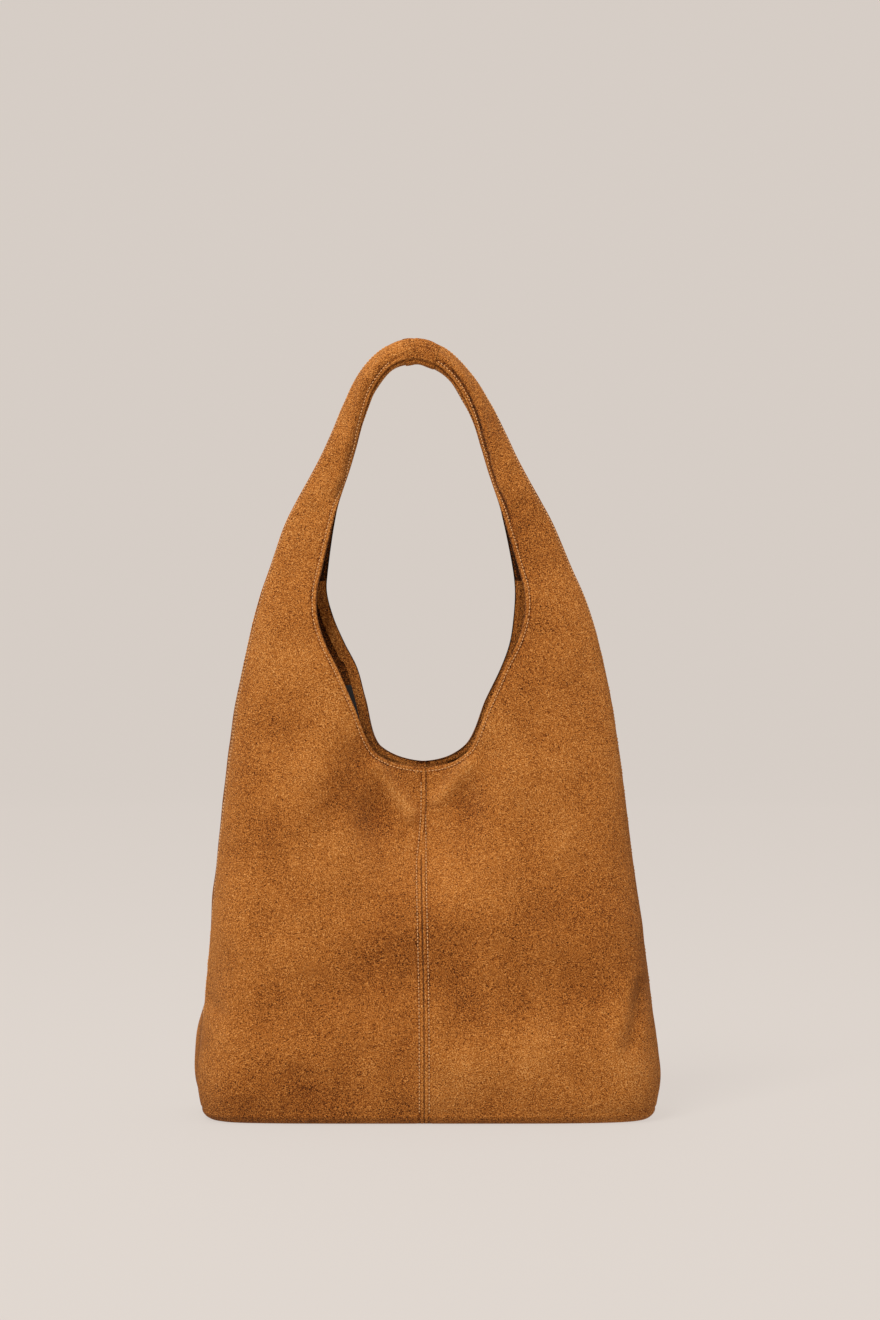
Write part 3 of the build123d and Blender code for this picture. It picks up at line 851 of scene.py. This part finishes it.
# ---- base: the panel underneath, and the lining on top of the board ----
def base_sheet(row, rise, thickness, lift, inset):
    """Sheet that spans the ring of the walls at one row, from the front edge to the back edge."""
    front = np.vstack([grids["left", "front"]["p"][row][::-1], grids["right", "front"]["p"][row][1:]])
    back = np.vstack([grids["left", "back"]["p"][row][::-1], grids["right", "back"]["p"][row][1:]])
    front[:, :2] *= inset
    back[:, :2] *= inset
    share = np.linspace(0, 1, 41)[:, None, None]
    p = front[None] * (1 - share) + back[None] * share
    rim = np.sin(np.pi * share[..., 0]) * np.ones(p.shape[:2])
    ends = smooth(BASE_HALF + 1 - np.abs(p[..., 0]), 5, 45)
    waves = 0.35 * np.sin(p[..., 0] / 23) * np.sin(p[..., 1] / 17) * rim * ends
    p[..., 2] = lift + rise * rim**0.5 * ends + waves
    under = p.copy()
    p[..., 2] += thickness
    rows, cols = p.shape[:2]
    verts = np.vstack([p.reshape(-1, 3), under.reshape(-1, 3)])
    return verts, sheet_faces(rows, cols, False)


verts, faces = base_sheet(0, 1.0, SUEDE, 0.0, 1.0)
under = make("base", verts, faces, suede, shade=np.full(len(verts), -0.12))
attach(under, "bag")
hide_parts("base_panel")
inner_row = int(np.argmin(np.abs(ROWS - 0.3)))
board_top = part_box("base_board")[1].z / MM
verts, faces = base_sheet(inner_row, 0.25, 0.7, board_top + 0.25, 0.975)
floor_lining = make("base_lining", verts, faces, lining)
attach(floor_lining, "bag")
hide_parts("lining_base")


# ---- patch: a rough sleeve round the top of the strap, where the two halves meet ----
def patch():
    """Closed sleeve that hugs the strap's bands on the left and right of the line where they meet."""
    rings = []
    left_rows = list(np.where(ROWS >= 20.62)[0])
    right_rows = list(np.where(ROWS >= 20.15)[0])
    order = [("left", i) for i in left_rows] + [("right", i) for i in right_rows[::-1][1:]]
    for side, i in order:
        front, back = grids[side, "front"], grids[side, "back"]
        keep = slice(0, -14)
        ring = np.vstack([back["p"][i][keep][::-1], front["p"][i][keep]])
        normal = np.vstack([back["n"][i][keep][::-1], front["n"][i][keep]])
        rings.append(np.stack([ring, normal], axis=1))
    data = np.array(rings)
    p, n = data[:, :, 0], data[:, :, 1]
    ragged = 0.35 * np.sin(np.arange(p.shape[1]) / 2.3)[None]
    ragged = ragged + 0.3 * np.sin(np.arange(p.shape[0]) / 1.3)[:, None]
    top = p + n * (1.1 + ragged[..., None])
    verts = np.vstack([top.reshape(-1, 3), (p + n * 0.05).reshape(-1, 3)])
    rows, cols = p.shape[:2]
    face_normal = np.cross(p[2, 11] - p[2, 10], p[3, 10] - p[2, 10])
    return verts, sheet_faces(rows, cols, bool(face_normal @ n[2, 10] < 0))


verts, faces = patch()
patch_piece = make("strap_patch", verts, faces, suede, shade=np.full(len(verts), -0.05))
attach(patch_piece, "strap")
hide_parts("strap_join_patch")

# ---- CAD nodes that are shown ----
FINISHES = {
    "base_board": board, "pocket_bag": pocket_lining, "pocket_welt": pocket_facing, "zip_tape_upper": tape,
    "zip_tape_lower": tape, "zip_coil_upper": coil, "zip_coil_lower": coil, "zip_stops": brass,
    "zip_slider": brass, "zip_pull": brass, "snap_socket": brass, "snap_magnet": magnet, "snap_stud": brass,
    "snap_washer_front": washer, "snap_washer_back": washer,
}
for node, material in FINISHES.items():
    part = frame["nodes"][node]
    part.data.materials.clear()
    part.data.materials.append(material)


# ---- stage ----
def backdrop():
    """Round floor that curves up into a wall all the way round."""
    profile = [(0.001, 0.0), (2.5, 0.0), (5.0, 0.0)]
    bend = 1.8
    turns = np.linspace(0, math.pi / 2, 13)[1:]
    profile += [(5.0 + bend * math.sin(a), bend - bend * math.cos(a)) for a in turns]
    profile.append((6.8, 6.5))
    around = 96
    verts = [(r * math.cos(2 * math.pi * k / around), r * math.sin(2 * math.pi * k / around), z)
             for r, z in profile for k in range(around)]
    rings = [(i * around, (i + 1) * around) for i in range(len(profile) - 1)]
    faces = [(low + k, low + (k + 1) % around, high + (k + 1) % around, high + k)
             for low, high in rings for k in range(around)]
    mesh = bpy.data.meshes.new("backdrop")
    mesh.from_pydata(verts, [], faces)
    mesh.polygons.foreach_set("use_smooth", [True] * len(faces))
    material, _, _, bsdf = new_material("paper")
    bsdf.inputs["Base Color"].default_value = (*PAPER, 1)
    bsdf.inputs["Roughness"].default_value = 0.9
    bsdf.inputs["Specular IOR Level"].default_value = 0.1
    bsdf.inputs["Emission Color"].default_value = (*PAPER_GLOW, 1)
    bsdf.inputs["Emission Strength"].default_value = 1.0
    mesh.materials.append(material)
    obj = bpy.data.objects.new("backdrop", mesh)
    bpy.context.scene.collection.objects.link(obj)


def softbox(name, place, target, width, height, power, colour):
    light = bpy.data.lights.new(name, "AREA")
    light.shape = "RECTANGLE"
    light.size = width
    light.size_y = height
    light.energy = power
    light.color = colour
    obj = bpy.data.objects.new(name, light)
    obj.location = place
    obj.rotation_euler = (Vector(target) - Vector(place)).to_track_quat("-Z", "Y").to_euler()
    bpy.context.scene.collection.objects.link(obj)


PAPER = (0.070, 0.066, 0.062)
PAPER_GLOW = (0.625, 0.570, 0.527)
backdrop()
world = bpy.data.worlds.new("world")
world.use_nodes = True
world.node_tree.nodes["Background"].inputs["Color"].default_value = (1.0, 0.985, 0.97, 1)
world.node_tree.nodes["Background"].inputs["Strength"].default_value = 0.18
bpy.context.scene.world = world
softbox("key", (-1.1, -2.0, 3.0), (0, 0, 0.25), 1.3, 1.3, 118, (1.0, 0.985, 0.965))
softbox("top", (0.2, 0.1, 3.0), (0, 0.1, 0), 2.4, 2.4, 36, (1.0, 0.99, 0.98))
bpy.context.scene.view_settings.view_transform = "Standard"

camera_data = bpy.data.cameras.new("camera")
camera_data.lens = 78.6
camera = bpy.data.objects.new("camera", camera_data)
camera.location = (0.0113, -2.4, 0.378)
camera.rotation_euler = (math.radians(90), 0, 0)
bpy.context.scene.collection.objects.link(camera)
bpy.context.scene.camera = camera
